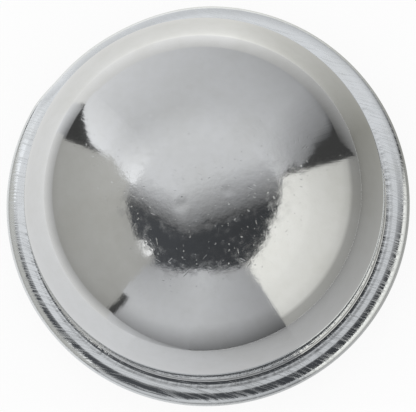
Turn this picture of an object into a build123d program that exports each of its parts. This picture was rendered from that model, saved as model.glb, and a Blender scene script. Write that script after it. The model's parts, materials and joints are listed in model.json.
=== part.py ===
import os
from math import asin, cos, degrees, radians, sqrt, tan

from build123d import *

os.makedirs("parts", exist_ok=True)

# Hub dust cap drawn from one sheet of steel, open end down.
# The rim stands on z = 0 and the crown points up +Z.

# Sheet
sheet = 1.0
edge_round = 0.2

# Skirt that is driven into the hub
hub_bore = 50.0
press_fit = 0.12
skirt_length = 6.5
skirt_root_r = 0.6
lead_length = 1.8
lead_angle = 11.0

# Drawn body above the flange, a little narrower than the skirt
body_step = 0.41
wall_height = 6.4
knuckle_r = 10.8
crown_rise = 20.7
root_r = 0.7

# Flange: the sheet folded back under itself, drooping towards its edge
flange_reach = 2.94
hem_gap = 0.12
droop_width = 1.72
droop_r = 5.4

# Radii and levels that follow from them
skirt_r = (hub_bore + press_fit) / 2
body_r = skirt_r - body_step
flange_r = skirt_r + flange_reach
flange_thick = 2 * sheet + hem_gap
seat_z = skirt_length
flange_z = seat_z + flange_thick
knuckle_z = flange_z + wall_height
crown_z = flange_z + crown_rise

# Crown sphere that runs smoothly into the knuckle
knuckle_x = body_r - knuckle_r
rise = crown_rise - wall_height
crown_r = (knuckle_x**2 + rise**2 - knuckle_r**2) / (2 * (rise - knuckle_r))
crown_centre_z = crown_z - crown_r
crown_half = degrees(asin(knuckle_x / (crown_r - knuckle_r)))

# Folded edge: touches the drooping top of the flange, its rim and its seat
droop_x = flange_r - droop_width
droop_z = flange_z - droop_r
below = droop_r - flange_thick
half_sum = below - droop_width + droop_r
fold_r = sqrt(half_sum**2 - droop_width**2 - below**2 + droop_r**2) - half_sum
fold_x = flange_r - fold_r
fold_z = seat_z + fold_r
droop_end = degrees(asin((fold_x - droop_x) / (droop_r - fold_r)))

# Levels inside the fold and along the skirt
upper_leaf_z = flange_z - sheet
lower_leaf_z = seat_z + sheet
hem_x = flange_r - sheet - hem_gap / 2
hem_z = (upper_leaf_z + lower_leaf_z) / 2
skirt_root_z = seat_z - skirt_root_r
lead_in = lead_length * tan(radians(lead_angle))
lead_skew = sheet * tan(radians(lead_angle) / 2)
rim_out = skirt_r - lead_in
rim_in = rim_out - sheet / cos(radians(lead_angle))

with BuildPart() as dust_cap:
    with BuildSketch(Plane.XZ) as section:
        with BuildLine():
            # Outside, from the top of the crown down to the rim
            crown_out = CenterArc((0, crown_centre_z), crown_r, 90 - crown_half, crown_half)
            CenterArc((knuckle_x, knuckle_z), knuckle_r, 0, 90 - crown_half)
            Line((body_r, knuckle_z), (body_r, flange_z + root_r))
            CenterArc((body_r + root_r, flange_z + root_r), root_r, 180, 90)
            Line((body_r + root_r, flange_z), (droop_x, flange_z))
            CenterArc((droop_x, droop_z), droop_r, 90 - droop_end, droop_end)
            CenterArc((fold_x, fold_z), fold_r, -90, 180 - droop_end)
            Line((fold_x, seat_z), (skirt_r + skirt_root_r, seat_z))
            CenterArc((skirt_r + skirt_root_r, skirt_root_z), skirt_root_r, 90, 90)
            Line((skirt_r, skirt_root_z), (skirt_r, lead_length))
            Line((skirt_r, lead_length), (rim_out, 0))
            Line((rim_out, 0), (rim_in, 0))
            # Inside, from the rim back up to the crown
            Line((rim_in, 0), (skirt_r - sheet, lead_length - lead_skew))
            Line((skirt_r - sheet, lead_length - lead_skew), (skirt_r - sheet, skirt_root_z))
            CenterArc((skirt_r + skirt_root_r, skirt_root_z), skirt_root_r + sheet, 90, 90)
            Line((skirt_r + skirt_root_r, lower_leaf_z), (hem_x, lower_leaf_z))
            CenterArc((hem_x, hem_z), hem_gap / 2, -90, 180)
            Line((hem_x, upper_leaf_z), (body_r + root_r, upper_leaf_z))
            CenterArc((body_r + root_r, flange_z + root_r), root_r + sheet, 180, 90)
            Line((body_r - sheet, flange_z + root_r), (body_r - sheet, knuckle_z))
            CenterArc((knuckle_x, knuckle_z), knuckle_r - sheet, 0, 90 - crown_half)
            crown_in = CenterArc((0, crown_centre_z), crown_r - sheet, 90 - crown_half, crown_half)
            Line(crown_in @ 1, crown_out @ 1)
        make_face()
    revolve(axis=Axis.Z)
    # The sheared rim is broken on both sides
    rim = dust_cap.edges().filter_by(GeomType.CIRCLE).group_by(Axis.Z)[0]
    fillet(rim, radius=min(edge_round, 0.4 * sheet))

dust_cap.part.label = "dust_cap"
export_step(dust_cap.part, "parts/dust_cap.step")
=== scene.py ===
import json
from math import asin, atan2, cos, degrees, hypot, pi, radians, sin, tan

import bpy
from mathutils import Matrix, Vector


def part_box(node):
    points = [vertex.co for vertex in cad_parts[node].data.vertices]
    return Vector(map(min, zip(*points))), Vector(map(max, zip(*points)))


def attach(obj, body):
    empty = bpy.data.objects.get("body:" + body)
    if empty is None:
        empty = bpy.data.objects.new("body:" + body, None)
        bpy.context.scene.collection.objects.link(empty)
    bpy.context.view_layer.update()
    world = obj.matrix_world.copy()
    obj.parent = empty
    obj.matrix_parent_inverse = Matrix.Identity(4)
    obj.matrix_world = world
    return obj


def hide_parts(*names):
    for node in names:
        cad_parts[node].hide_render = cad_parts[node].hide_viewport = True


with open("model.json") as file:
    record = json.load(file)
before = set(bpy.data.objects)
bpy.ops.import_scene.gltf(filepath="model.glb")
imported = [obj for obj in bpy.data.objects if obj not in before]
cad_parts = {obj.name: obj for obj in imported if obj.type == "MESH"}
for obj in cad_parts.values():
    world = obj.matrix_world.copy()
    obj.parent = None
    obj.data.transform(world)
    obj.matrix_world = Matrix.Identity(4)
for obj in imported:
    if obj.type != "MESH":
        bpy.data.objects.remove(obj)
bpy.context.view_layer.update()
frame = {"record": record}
record = frame["record"]

# Sizes in millimetres; the mesh is turned in metres like the frame
MM = 0.001

# Read from the frame
mounts = {mount["name"]: mount for mount in record["mounts"]}
skirt_r = mounts["press_skirt"]["dims"]["r_mm"]
seat_z = mounts["flange_seat"]["pos_m"][2] / MM
low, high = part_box("dust_cap")
flange_r = min(high[0], high[1], -low[0], -low[1]) / MM
crown_z = high[2] / MM

# Sheet and section of the cap
sheet = 1.0
edge_round = 0.2
hem_gap = 0.12
body_step = 0.41
wall_height = 6.4
knuckle_r = 10.8
root_r = 0.7
skirt_root_r = 0.6
lead_length = 1.8
lead_angle = radians(11)

body_r = skirt_r - body_step
flange_thick = 2 * sheet + hem_gap
flange_z = seat_z + flange_thick
knuckle_z = flange_z + wall_height
SEGMENTS = 384
MEETING_GAP = 1e-6

# Top of the flange: a tight corner at the wall, a slight ramp with a sharper foot, a flat,
# then a crease into the droop
corner_r = 0.25
ramp_r = 2.4
ramp_slope = radians(17.5)
foot_r = 0.9
foot_slope = radians(9)
crease_x = 26.25
crease_r = 1.0
crease_slope = radians(7.5)
droop_r = 6.1
droop_slope = radians(17.5)

# Where the flange's edge was knocked flat, in degrees clockwise from the picture's right
KNOCK_TURNS = (209, 221, 238, 274)
KNOCK_IN = 0.4
KNOCK_DOWN = 0.3

# The drawn body sits a little off the middle of the flange
BODY_OFF = (-0.07, 0.1)

# Dents in the crown: place, radius and depth
DENTS = [
    (-2.2, -3.0, 1.3, 0.03),
    (-3.4, 2.6, 1.1, 0.02),
    (3.9, -1.2, 1.0, 0.015),
    (1.2, -5.6, 0.9, 0.015),
]

# Camera: how far it leans off the cap's axis, and towards which side of the picture
LEAN = radians(8.7)
LEAN_TURN = radians(68)
CAMERA_FAR = 498.0
PICTURE_WIDTH = 416
PICTURE_HEIGHT = 412
FLANGE_CENTRE_PIXEL = (207.1, 203.7)
MM_PER_PIXEL = 28.0 / 202.4
SENSOR_WIDTH = 36
CLIP_END = 20


# Section


def arc(centre_r, centre_z, radius, start, end, steps):
    """Points of an arc in the section, angles in radians from the outward direction."""
    points = []
    for step in range(steps + 1):
        angle = start + (end - start) * step / steps
        points.append((centre_r + radius * cos(angle), centre_z + radius * sin(angle)))
    return points


def line(start, end, steps):
    """Points of a straight run in the section."""
    points = []
    for step in range(steps + 1):
        share = step / steps
        points.append((start[0] + (end[0] - start[0]) * share, start[1] + (end[1] - start[1]) * share))
    return points


def cap_section():
    """The closed section from the top of the crown, down the outside and back up the inside."""
    knuckle_x = body_r - knuckle_r
    rise = crown_z - knuckle_z
    crown_r = (knuckle_x**2 + rise**2 - knuckle_r**2) / (2 * (rise - knuckle_r))
    crown_centre = crown_z - crown_r
    shoulder = pi / 2 - asin(knuckle_x / (crown_r - knuckle_r))

    corner_x = body_r + corner_r
    ramp_x = corner_x - corner_r * sin(ramp_slope) + ramp_r * sin(ramp_slope)
    ramp_z = flange_z + foot_r * (1 - cos(foot_slope)) + ramp_r * cos(foot_slope)
    flat_x = ramp_x - (ramp_r - foot_r) * sin(foot_slope)
    corner_z = ramp_z - (ramp_r - corner_r) * cos(ramp_slope)
    droop_x = crease_x + crease_r * sin(crease_slope) - droop_r * sin(crease_slope)
    droop_z = flange_z - crease_r * (1 - cos(crease_slope)) - droop_r * cos(crease_slope)
    edge_x = droop_x + droop_r * sin(droop_slope)
    fold_r = (flange_r - edge_x) / (1 - sin(droop_slope))
    fold_z = droop_z + (droop_r - fold_r) * cos(droop_slope)
    under_r = fold_z - seat_z

    root_x = body_r + root_r
    root_z = flange_z + root_r
    skirt_root_x = skirt_r + skirt_root_r
    skirt_root_z = seat_z - skirt_root_r
    hem_x = flange_r - sheet - hem_gap / 2
    hem_z = seat_z + sheet + hem_gap / 2
    rim_out = skirt_r - lead_length * tan(lead_angle)
    rim_in = rim_out - sheet / cos(lead_angle)
    lead_top = lead_length - sheet * tan(lead_angle / 2)

    # The sheared rim is broken by a small round on each side
    out_turn = pi / 2 - lead_angle
    out_cut = edge_round * tan(out_turn / 2)
    in_turn = pi / 2 + lead_angle
    in_cut = edge_round * tan(in_turn / 2)
    out_centre = (rim_out - out_cut, edge_round)
    in_centre = (rim_in + in_cut, edge_round)
    aside = edge_round * cos(lead_angle)
    lift = edge_round * sin(lead_angle)
    out_start = (out_centre[0] + aside, edge_round - lift)
    in_end = (in_centre[0] - aside, edge_round + lift)

    outside = [
        arc(0, crown_centre, crown_r, pi / 2, shoulder, 56),
        arc(knuckle_x, knuckle_z, knuckle_r, shoulder, 0, 44),
        line((body_r, knuckle_z), (body_r, corner_z), 6),
        arc(corner_x, corner_z, corner_r, pi, 1.5 * pi - ramp_slope, 6),
        arc(ramp_x, ramp_z, ramp_r, 1.5 * pi - ramp_slope, 1.5 * pi - foot_slope, 4),
        arc(flat_x, flange_z + foot_r, foot_r, 1.5 * pi - foot_slope, 1.5 * pi, 3),
        line((flat_x, flange_z), (crease_x, flange_z), 3),
        arc(crease_x, flange_z - crease_r, crease_r, pi / 2, pi / 2 - crease_slope, 3),
        arc(droop_x, droop_z, droop_r, pi / 2 - crease_slope, pi / 2 - droop_slope, 8),
        arc(flange_r - fold_r, fold_z, fold_r, pi / 2 - droop_slope, 0, 10),
        arc(flange_r - under_r, fold_z, under_r, 0, -pi / 2, 8),
        line((flange_r - under_r, seat_z), (skirt_root_x, seat_z), 3),
        arc(skirt_root_x, skirt_root_z, skirt_root_r, pi / 2, pi, 6),
        line((skirt_r, skirt_root_z), (skirt_r, lead_length), 4),
        line((skirt_r, lead_length), out_start, 2),
        arc(*out_centre, edge_round, -lead_angle, -pi / 2, 4),
    ]
    inside = [
        arc(*in_centre, edge_round, -pi / 2, -pi - lead_angle, 4),
        line(in_end, (skirt_r - sheet, lead_top), 2),
        line((skirt_r - sheet, lead_top), (skirt_r - sheet, skirt_root_z), 4),
        arc(skirt_root_x, skirt_root_z, skirt_root_r + sheet, pi, pi / 2, 8),
        line((skirt_root_x, seat_z + sheet), (hem_x, seat_z + sheet), 2),
        arc(hem_x, hem_z, hem_gap / 2, -pi / 2, pi / 2, 4),
        line((hem_x, flange_z - sheet), (root_x, flange_z - sheet), 2),
        arc(root_x, root_z, root_r + sheet, 1.5 * pi, pi, 8),
        line((body_r - sheet, root_z), (body_r - sheet, knuckle_z), 4),
        arc(knuckle_x, knuckle_z, knuckle_r - sheet, 0, shoulder, 16),
        arc(0, crown_centre, crown_r - sheet, shoulder, pi / 2, 16),
    ]
    return joined(outside), joined(inside)


def joined(stretches):
    """One run of points from several that meet end to end."""
    run = []
    for stretch in stretches:
        for point in stretch:
            if not run or hypot(point[0] - run[-1][0], point[1] - run[-1][1]) > MEETING_GAP:
                run.append(point)
    return run


# Cap


def smooth(value, start, end):
    """0 before start, 1 after end, and a smooth step between."""
    share = min(max((value - start) / (end - start), 0), 1)
    return share * share * (3 - 2 * share)


def worn(x, y, z, outer):
    """A point of the new cap moved to where wear has left it."""
    radius = hypot(x, y)
    root = body_r + root_r
    if radius > root:
        turn = -degrees(atan2(y, x)) % 360
        knock = smooth(turn, *KNOCK_TURNS[:2]) * (1 - smooth(turn, *KNOCK_TURNS[2:]))
        reach = (radius - root) / (flange_r - root)
        shrink = 1 - KNOCK_IN * knock * reach**2 / radius
        if outer and z > seat_z + sheet:
            z -= KNOCK_DOWN * knock * reach
        return x * shrink, y * shrink, z
    if z > seat_z + sheet:
        x += BODY_OFF[0]
        y += BODY_OFF[1]
    if z > knuckle_z + sheet and outer:
        for dent_x, dent_y, dent_r, depth in DENTS:
            away = hypot(x - dent_x, y - dent_y) / dent_r
            if away < 1:
                z -= depth * (1 - away**2) ** 2
    return x, y, z


def turned_cap():
    """The cap as one closed mesh, turned about the axis."""
    outside, inside = cap_section()
    section = outside[1:] + inside[:-1]
    points = [(0, 0, outside[0][1])]
    for index, (radius, height) in enumerate(section):
        outer = index < len(outside) - 1
        for segment in range(SEGMENTS):
            turn = 2 * pi * segment / SEGMENTS
            points.append(worn(radius * cos(turn), radius * sin(turn), height, outer))
    points.append((0, 0, inside[-1][1]))
    last = len(points) - 1

    faces = []
    for segment in range(SEGMENTS):
        following = (segment + 1) % SEGMENTS
        faces.append((0, 1 + segment, 1 + following))
        for ring in range(len(section) - 1):
            start = 1 + ring * SEGMENTS
            below = start + SEGMENTS
            faces.append((start + segment, below + segment, below + following, start + following))
        inner = 1 + (len(section) - 1) * SEGMENTS
        faces.append((last, inner + following, inner + segment))

    mesh = bpy.data.meshes.new("cap_shell")
    mesh.from_pydata([Vector(point) * MM for point in points], [], faces)
    mesh.shade_smooth()
    side = mesh.attributes.new("inside", "FLOAT", "POINT")
    first_inner = 1 + (len(outside) - 1) * SEGMENTS
    side.data.foreach_set("value", [0.0 if index < first_inner else 1.0 for index in range(len(points))])
    cap = bpy.data.objects.new("cap_shell", mesh)
    bpy.context.collection.objects.link(cap)
    return cap


# Materials


class Level:
    """A number that changes over a surface; sums and products of it add Math nodes."""

    def __init__(self, net, socket):
        self.net = net
        self.socket = socket

    def math(self, operation, *values):
        sockets = {index: value for index, value in enumerate(values)}
        return self.net.node("Math", sockets, operation=operation).level()

    def __add__(self, other):
        return self.math("ADD", self, other)

    def __sub__(self, other):
        return self.math("SUBTRACT", self, other)

    def __rsub__(self, other):
        return self.math("SUBTRACT", other, self)

    def __mul__(self, other):
        return self.math("MULTIPLY", self, other)

    def __truediv__(self, other):
        return self.math("DIVIDE", self, other)

    def __pow__(self, other):
        return self.math("POWER", self, other)

    __radd__ = __add__
    __rmul__ = __mul__

    def rising(self, start, end):
        """0 below start, 1 above end, and a smooth step between."""
        sockets = {"Value": self, "From Min": start, "From Max": end}
        return self.net.node("MapRange", sockets, interpolation_type="SMOOTHSTEP").level()


class Made:
    """A node that has been made, with its outputs by name."""

    def __init__(self, net, node):
        self.net = net
        self.node = node

    def level(self, name=0):
        return Level(self.net, self.node.outputs[name])


class Net:
    """A node tree that is filled by one method."""

    def __init__(self, tree):
        self.tree = tree
        tree.nodes.clear()

    def node(self, kind, sockets=None, **settings):
        """A node of a kind, its settings first and then the values or links of its sockets."""
        node = self.tree.nodes.new("ShaderNode" + kind)
        for name, value in settings.items():
            setattr(node, name, value)
        for name, value in (sockets or {}).items():
            if isinstance(value, Level):
                self.tree.links.new(value.socket, node.inputs[name])
            else:
                node.inputs[name].default_value = value
        return Made(self, node)


# Short scratches on the crown: their turn in degrees, and the share of places that has one
SCRATCHES = ((28, 0.1), (-47, 0.06), (80, 0.05))
ROLLED_TURN = 17

# Depths of the marks in millimetres
GRAIN_DEEP = 0.001
CROWN_GRAIN_DEEP = 0.008
PIT_DEEP = 0.01
CROWN_PIT_DEEP = 0.07
ROLL_DEEP = 0.01
DRAW_DEEP = 0.003
WRINKLE_DEEP = 0.05

# Clean plate and dull plate; the flange's pair is painted lighter and bluer than the body's, a painted
# light on the same plate
CLEAN_ROUGH = 0.06
CLEAN_BODY = (0.83, 0.838, 0.845, 1)
DULL_BODY = (0.76, 0.765, 0.755, 1)
CLEAN_FLANGE_PAINTED_LIGHT = (0.95, 0.975, 0.995, 1)
DULL_FLANGE_PAINTED_LIGHT = (0.88, 0.9, 0.9, 1)


def zinc_plate():
    """Bright zinc plate: a mirror on the drawn shoulder, grainy on the crown, streaked on the flange."""
    material = bpy.data.materials.new("zinc_plate")
    material.use_nodes = True
    net = Net(material.node_tree)
    place = net.node("TexCoord").level("Object")
    place_mm = net.node("VectorMath", {0: place, "Scale": 1 / MM}, operation="SCALE").level()
    axes = net.node("SeparateXYZ", {0: place_mm})
    x, y, z = axes.level("X"), axes.level("Y"), axes.level("Z")
    radius = (x * x + y * y) ** 0.5

    def noise(vector, scale, detail):
        return net.node("TexNoise", {"Vector": vector, "Scale": scale, "Detail": detail})

    def spots(vector, scale, share):
        """Spots of mixed sizes on a share of the cells."""
        cells = net.node("TexVoronoi", {"Vector": vector, "Scale": scale}, voronoi_dimensions="2D")
        draw = net.node("SeparateXYZ", {0: cells.level("Color")})
        size = 0.05 + 0.13 * draw.level("Y")
        spot = 1 - (cells.level("Distance") / size).rising(0.3, 1)
        return spot * draw.level("X").rising(1 - share, 1.02 - share) * size

    def lying(turn):
        """Places along and across marks that lie at a turn in degrees."""
        lie = radians(turn)
        return x * cos(lie) - y * sin(lie), x * sin(lie) + y * cos(lie)

    def between(share, start, end):
        """A colour carried from one to another."""
        sockets = {0: share, 6: start, 7: end}
        return net.node("Mix", sockets, data_type="RGBA").level(2)

    crown = 1 - radius.rising(10, 18)
    flange = radius.rising(body_r + 0.1, body_r + 0.3) * (1 - z.rising(flange_z + 0.3, flange_z + 0.8))
    flange = flange * z.rising(seat_z - 0.4, seat_z + 0.2)
    root = radius.rising(body_r - 0.1, body_r + 0.2) * (1 - radius.rising(body_r + 0.6, body_r + 1.1))
    edge = radius.rising(flange_r - 0.6, flange_r - 0.1)
    inside = net.node("Attribute", attribute_name="inside").level("Fac")

    # Grain of the crown, with small pits and short scratches
    grain = noise(place_mm, 1.5, 3.0).level("Fac")
    ruffle = noise(place_mm, 3.1, 2.0).level("Color")
    sockets = {0: ruffle, 1: (0.45, 0.45, 0.45), 2: place_mm}
    ruffled = net.node("VectorMath", sockets, operation="MULTIPLY_ADD").level()
    pits = spots(ruffled, 1.15, 0.26)
    for turn, share in SCRATCHES:
        along, across = lying(turn)
        strip = net.node("CombineXYZ", {"X": along * 0.3 + turn, "Y": across * 1.9, "Z": 0.0}).level()
        pits = pits + 0.45 * spots(strip, 1.0, share)

    # Rolling marks that lie one way across the sheet and show where it was not drawn
    along, across = lying(ROLLED_TURN)
    waver = noise(place_mm, 0.13, 1.0).level("Fac") * 5.0
    rolled = net.node("CombineXYZ", {"X": along * 0.2, "Y": across * 4.6 + waver, "Z": 0.0}).level()
    roll_marks = noise(rolled, 1.0, 3.0).level("Fac")
    streaks = roll_marks.rising(0.44, 0.66) * flange

    # Drawing lines that run down the wall, and wrinkles pressed into its root
    around = net.node("CombineXYZ", {"X": x / radius, "Y": y / radius, "Z": z * 0.004}).level()
    draw_lines = noise(around, 46.0, 3.0).level("Fac")
    wrinkles = noise(around, 34.0, 2.0).level("Fac")

    drawn = (1 - crown) * (1 - flange)
    height = grain * (GRAIN_DEEP + CROWN_GRAIN_DEEP * crown) - pits * (CROWN_PIT_DEEP * crown + PIT_DEEP)
    height = height + roll_marks * (ROLL_DEEP * flange) + draw_lines * (DRAW_DEEP * drawn)
    height = height + wrinkles * (WRINKLE_DEEP * root)
    bump = net.node("Bump", {"Height": height, "Distance": MM, "Strength": 1.0}).level("Normal")

    # The plate is a little blue, and dull in clouds and along the worn edge; the flange is painted
    # lighter and bluer than the body, a painted light on the same plate
    clouds = noise(place_mm, 0.12, 4.0).level("Fac").rising(0.42, 0.72)
    mottle = noise(place_mm, 0.7, 3.0).level("Fac").rising(0.3, 0.75)
    dull = 0.5 * clouds + 0.3 * mottle + 0.3 * edge
    haze = noise(place_mm, 0.9, 4.0).level("Fac").rising(0.45, 0.75) * crown
    roughness = CLEAN_ROUGH + 0.02 * crown + 0.12 * haze + 0.03 * dull
    roughness = roughness + 0.24 * streaks + 0.08 * edge + 0.22 * inside
    body_tint = between(dull, CLEAN_BODY, DULL_BODY)
    # Painted light: the flange's tint is lighter and bluer than the body's
    flange_painted_light = between(dull, CLEAN_FLANGE_PAINTED_LIGHT, DULL_FLANGE_PAINTED_LIGHT)
    tint = between(flange, body_tint, flange_painted_light)

    shader = net.node("BsdfPrincipled", {
        "Base Color": tint,
        "Metallic": 1.0,
        "Roughness": roughness,
        "Normal": bump,
    }).level("BSDF")
    net.node("OutputMaterial", {"Surface": shader})
    return material


# Studio

# Distances in metres; a card that overlaps another stands a little nearer or farther
CARD_FAR = 1.2
GLINT_FAR = 1.15
CORNER_FAR = 1.19
LOW_FAR = 1.21
ROOM_FAR = 2.0
CARD_CENTRE = Vector((0, 0, 0.015))
CARD_STEPS = 16
FLOOR_CARD_NEAR = 0.0285
FLOOR_CARD_FAR = 1.26
FLOOR_CARD_Z = 0.0002
OVERHEAD_HIGH = 1.2
FLAG_HIGH = 1.4
FLOOR_Z = -0.0001
FLOOR_HOLE = 0.0242
FLOOR_REACH = 6.0
FLOOR_STEPS = 96
FLOOR_SEEN_WHITE = 0.88

# Share of a card's light that the plate gives back, and how far warmth pulls each colour
PLATE_MIRRORS = 0.81
WARM_RED = 0.4
COOL_RED = 1.2
GREEN_PULL = 0.2
BLUE_PULL = -1.5

# How far a card leans to yellow at its left and right edges; below zero it leans to blue
WARM = (0.03, 0.03)
PLAIN = (0.008, 0.008)
COOL = (-0.01, -0.01)
BLUE = (-0.05, -0.05)


def direction(turn, rise):
    """Unit direction: turn clockwise from the picture's right seen from above, rise over the floor."""
    return Vector((cos(turn) * cos(rise), -sin(turn) * cos(rise), sin(rise)))


def blended(corners, u, v, index):
    """A value of the four corners carried over the card."""
    shares = ((1 - u) * (1 - v), u * (1 - v), u * v, (1 - u) * v)
    return sum(share * corner[index] for share, corner in zip(shares, corners))


def tone(level, warmth):
    """Card colour that the plate mirrors at a picture level from 0 to 255."""
    share = level / 255
    linear = share / 12.92 if share <= 0.04045 else ((share + 0.055) / 1.055) ** 2.4
    linear /= PLATE_MIRRORS
    red_pull = WARM_RED if warmth > 0 else COOL_RED
    return [linear * (1 + pull * warmth) for pull in (red_pull, GREEN_PULL, BLUE_PULL)]


def card(name, warmth, corners, place):
    """A glowing card that lights nothing and is only there to be mirrored in the metal.

    Each corner holds its place and its level, from the bottom left round to the top left.
    """
    steps = CARD_STEPS
    tones = [tone(corner[2], warmth[side]) for corner, side in zip(corners, (0, 1, 1, 0))]
    points = []
    shades = []
    for row in range(steps + 1):
        for column in range(steps + 1):
            u = column / steps
            v = row / steps
            points.append(place(blended(corners, u, v, 0), blended(corners, u, v, 1)))
            shades.extend([blended(tones, u, v, part) for part in range(3)] + [1.0])
    faces = []
    for row in range(steps):
        for column in range(steps):
            corner = row * (steps + 1) + column
            faces.append((corner, corner + 1, corner + steps + 2, corner + steps + 1))
    mesh = bpy.data.meshes.new(name)
    mesh.from_pydata(points, [], faces)
    shade = mesh.attributes.new("shade", "FLOAT_COLOR", "POINT")
    shade.data.foreach_set("color", shades)
    mesh.materials.append(card_glow)
    obj = bpy.data.objects.new(name, mesh)
    bpy.context.collection.objects.link(obj)
    obj.visible_camera = False
    obj.visible_diffuse = False
    obj.visible_shadow = False
    obj.visible_transmission = False


def wall_card(name, warmth, corners, far=CARD_FAR):
    """A card that stands round the cap; its corners are turn and rise in degrees."""

    def place(turn, rise):
        return CARD_CENTRE + direction(radians(turn), radians(rise)) * far

    card(name, warmth, corners, place)


def overhead_card(name, warmth, corners, high=OVERHEAD_HIGH):
    """A flat card overhead; its corners are degrees off the axis, right and down in the picture."""

    def place(right, down):
        off = hypot(right, down)
        reach = high * tan(radians(off)) / max(off, 1e-6)
        return Vector((right * reach, -down * reach, crown_z * MM + high))

    card(name, warmth, corners, place)


def floor_reflection_card(name, warmth, start, end, levels):
    """A glowing card on the floor round the cap, from one turn to another, near edge first: a painted
    reflection of the floor, with painted shade where its levels are low.
    """

    def place(turn, out):
        far = FLOOR_CARD_NEAR * (FLOOR_CARD_FAR / FLOOR_CARD_NEAR) ** out
        return direction(radians(turn), 0) * far + Vector((0, 0, FLOOR_CARD_Z))

    corners = [(start, 0), (end, 0), (end, 1), (start, 1)]
    card(name, warmth, [(*corner, level) for corner, level in zip(corners, levels)], place)


def glow_material():
    material = bpy.data.materials.new("card_glow")
    material.use_nodes = True
    net = Net(material.node_tree)
    shade = net.node("Attribute", attribute_name="shade").level("Color")
    glow = net.node("Emission", {"Color": shade, "Strength": 1.0}).level()
    net.node("OutputMaterial", {"Surface": glow})
    return material


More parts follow.
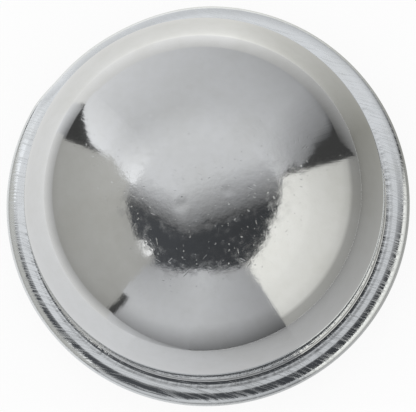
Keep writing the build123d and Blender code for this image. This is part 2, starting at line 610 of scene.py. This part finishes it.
def studio():
    """Four cards stand round the cap with dark gaps between them, under a top that is half dark."""
    wall_card("dark_room", PLAIN, [
        (0, -0.5, 56), (360, -0.5, 56),
        (360, 89.9, 56), (0, 89.9, 56),
    ], ROOM_FAR)

    wall_card("right_low", WARM, [(-20, -0.5, 124), (57, -0.5, 150), (57, 15, 157), (-20, 15, 133)])
    wall_card("right_edge", WARM, [(-20, 15, 133), (57, 15, 157), (57, 22, 202), (-20, 22, 167)])
    wall_card("right_card", WARM, [(-20, 22, 167), (57, 22, 199), (57, 48, 217), (-20, 48, 201)])
    wall_card("right_top", WARM, [(-20, 48, 205), (18, 48, 213), (18, 62.8, 226), (-20, 58.3, 219)])
    wall_card("right_corner", WARM, [
        (18, 48, 213), (57, 48, 219),
        (57, 60.2, 230), (18, 62.8, 226),
    ])

    wall_card("near_right", COOL, [(57, -0.5, 76), (98, 1, 112), (98, 40, 180), (57, 40, 143)])
    wall_card("near_left", COOL, [(98, 1, 118), (131.5, 15, 138), (131.5, 40, 181), (98, 40, 181)])
    wall_card("near_top", COOL, [(57, 40, 145), (95, 40, 181), (95, 63.2, 184), (57, 60.3, 150)])
    wall_card("near_corner", COOL, [
        (95, 39.5, 181), (136, 40, 180),
        (135, 57, 148), (95, 63.2, 182),
    ], CORNER_FAR)
    wall_card("near_low", COOL, [(98, -0.5, 140), (135, -0.5, 198), (135, 16, 168), (98, 1, 126)])

    wall_card("left_card", WARM, [(135, 16, 137), (207, 16, 148), (207, 48, 168), (135, 48, 157)])
    wall_card("left_top", WARM, [
        (135, 48, 157), (206, 48, 168),
        (197, 57.5, 168), (134, 59.6, 150),
    ])
    wall_card("left_low", PLAIN, [
        (133, -0.5, 200), (208, -0.5, 204),
        (208, 16, 160), (133, 16, 150),
    ])
    wall_card("left_glint", PLAIN, [
        (138, 57.3, 190), (151, 57.6, 190),
        (150, 60.8, 255), (138, 60.6, 255),
    ], GLINT_FAR)
    wall_card("left_gap_low", COOL, [
        (207, -0.5, 206), (220, -0.5, 214),
        (220, 21, 150), (207, 21, 80),
    ], LOW_FAR)

    wall_card("far_side", COOL, [(222, 20, 209), (227, 20, 206), (226, 36, 200), (209, 36, 224)])
    wall_card("far_side_high", COOL, [
        (209, 36, 224), (226, 36, 200),
        (226, 48, 186), (206, 48, 212),
    ])
    wall_card("far_side_top", COOL, [
        (206, 48, 206), (226, 48, 186),
        (226, 62, 202), (195, 60.5, 238),
    ])
    wall_card("far_card", COOL, [(226, 22, 204), (306, 22, 147), (306, 48, 178), (226, 48, 181)])
    wall_card("far_top", COOL, [(226, 48, 181), (306, 48, 178), (306, 62, 194), (226, 62, 201)])
    wall_card("far_end", COOL, [(306, 22, 149), (319, 22, 119), (327, 40, 126), (306, 40, 170)])
    wall_card("far_end_high", COOL, [
        (306, 40, 170), (327, 40, 126),
        (334, 50, 140), (306, 50, 184),
    ])
    wall_card("far_end_top", COOL, [(306, 50, 184), (334, 50, 140), (340, 60, 190), (306, 62, 194)])
    wall_card("far_fade", COOL, [(319, 22, 119), (326, 22, 62), (331, 40, 66), (327, 40, 126)])
    wall_card("far_fade_high", COOL, [
        (327, 40, 126), (332, 40, 72),
        (339, 52, 150), (334, 50, 140),
    ])
    wall_card("far_low", PLAIN, [
        (219, -0.5, 217), (275, -0.5, 222),
        (275, 22.5, 184), (221, 22.5, 198),
    ], LOW_FAR)
    wall_card("far_low_right", PLAIN, [
        (275, -0.5, 222), (306, -0.5, 172),
        (306, 22.5, 150), (275, 22.5, 184),
    ], LOW_FAR)
    wall_card("far_low_end", PLAIN, [
        (306, -0.5, 170), (341, -0.5, 118),
        (333, 22.5, 58), (306, 22.5, 150),
    ], LOW_FAR)

    overhead_card("overhead_right", COOL, [
        (-12, -5, 196), (26, -20.5, 188),
        (20, -42, 199), (-14, -42, 201),
    ])
    overhead_card("overhead_left", COOL, [
        (-31.6, -12.5, 198), (-12, -5, 196),
        (-14, -42, 201), (-40, -36, 206),
    ])
    overhead_card("overhead_edge", COOL, [
        (-8, 14, 66), (33, -2.2, 54),
        (26, -20.5, 188), (-12, -5, 196),
    ])
    overhead_card("overhead_corner", COOL, [
        (-36.4, -4, 56), (-8, 14, 66),
        (-12, -5, 196), (-31.6, -12.5, 198),
    ])
    overhead_card("flag", BLUE, [
        (-42, 36, 72), (38, 36, 44),
        (42, -12, 48), (-42, -12, 70),
    ], FLAG_HIGH)

    # Painted reflection of the floor with painted shade: glowing cards greyer than the floor, darkest
    # towards the picture's right
    floor_reflection_card("right_floor", (0.055, 0.0), -27, 57, (136, 171, 136, 108))
    floor_reflection_card("near_floor", (0.0, -0.01), 57, 120, (172, 197, 188, 110))
    floor_reflection_card("left_floor", (-0.01, 0.01), 120, 222, (197, 205, 220, 196))
    floor_reflection_card("far_floor", (0.01, 0.025), 222, 276, (205, 199, 240, 220))
    floor_reflection_card("far_right_floor", (0.025, 0.055), 276, 333, (199, 136, 108, 240))


def floor_material():
    material = bpy.data.materials.new("pale_floor")
    material.use_nodes = True
    net = Net(material.node_tree)
    matt = net.node("BsdfDiffuse", {"Color": (0.95, 0.95, 0.95, 1)}).level()
    white = net.node("Emission", {"Color": (1, 1, 1, 1), "Strength": 1.0}).level()
    seen = net.node("LightPath").level("Is Camera Ray") * FLOOR_SEEN_WHITE
    both = net.node("MixShader", {0: seen, 1: matt, 2: white}).level()
    clear = net.node("BsdfTransparent").level()
    below = net.node("NewGeometry").level("Backfacing")
    one_sided = net.node("MixShader", {0: below, 1: both, 2: clear}).level()
    net.node("OutputMaterial", {"Surface": one_sided})
    return material


def floor():
    """A pale floor, open under the cap so that light reaches its inside."""
    steps = FLOOR_STEPS
    points = []
    for reach in (FLOOR_HOLE, FLOOR_REACH):
        for step in range(steps):
            points.append(direction(-2 * pi * step / steps, 0) * reach + Vector((0, 0, FLOOR_Z)))
    faces = []
    for step in range(steps):
        following = (step + 1) % steps
        faces.append((step, steps + step, steps + following, following))
    mesh = bpy.data.meshes.new("floor")
    mesh.from_pydata(points, [], faces)
    mesh.materials.append(floor_material())
    obj = bpy.data.objects.new("floor", mesh)
    bpy.context.collection.objects.link(obj)


def sky():
    world = bpy.data.worlds.new("white_room")
    world.use_nodes = True
    net = Net(world.node_tree)
    path = net.node("LightPath")
    seen = path.level("Is Camera Ray") + path.level("Is Glossy Ray") + path.level("Is Transmission Ray")
    strength = 0.97 + 0.03 * seen
    back = net.node("Background", {"Color": (1, 1, 1, 1), "Strength": strength}).level()
    net.node("OutputWorld", {"Surface": back})
    bpy.context.scene.world = world


def camera():
    """The photograph's view: the flange's centre lands on its pixel."""
    data = bpy.data.cameras.new("camera")
    data.sensor_width = SENSOR_WIDTH
    data.lens = data.sensor_width * CAMERA_FAR / MM_PER_PIXEL / PICTURE_WIDTH
    data.clip_end = CLIP_END
    back = Vector((sin(LEAN) * cos(LEAN_TURN), -sin(LEAN) * sin(LEAN_TURN), cos(LEAN)))
    aside = Vector((0, 1, 0)).cross(back).normalized()
    up = back.cross(aside)
    across = (PICTURE_WIDTH / 2 - FLANGE_CENTRE_PIXEL[0]) * MM_PER_PIXEL
    down = (PICTURE_HEIGHT / 2 - FLANGE_CENTRE_PIXEL[1]) * MM_PER_PIXEL
    centre = Vector((0, 0, flange_z)) + aside * across - up * down
    obj = bpy.data.objects.new("camera", data)
    obj.rotation_mode = "QUATERNION"
    obj.rotation_quaternion = Matrix((aside, up, back)).transposed().to_quaternion()
    obj.location = (centre + back * CAMERA_FAR) * MM
    bpy.context.collection.objects.link(obj)
    bpy.context.scene.camera = obj


cap = turned_cap()
cap.data.materials.append(zinc_plate())
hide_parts("dust_cap")
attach(cap, "root")

card_glow = glow_material()
studio()
floor()
sky()
camera()
bpy.context.scene.view_settings.view_transform = "Standard"
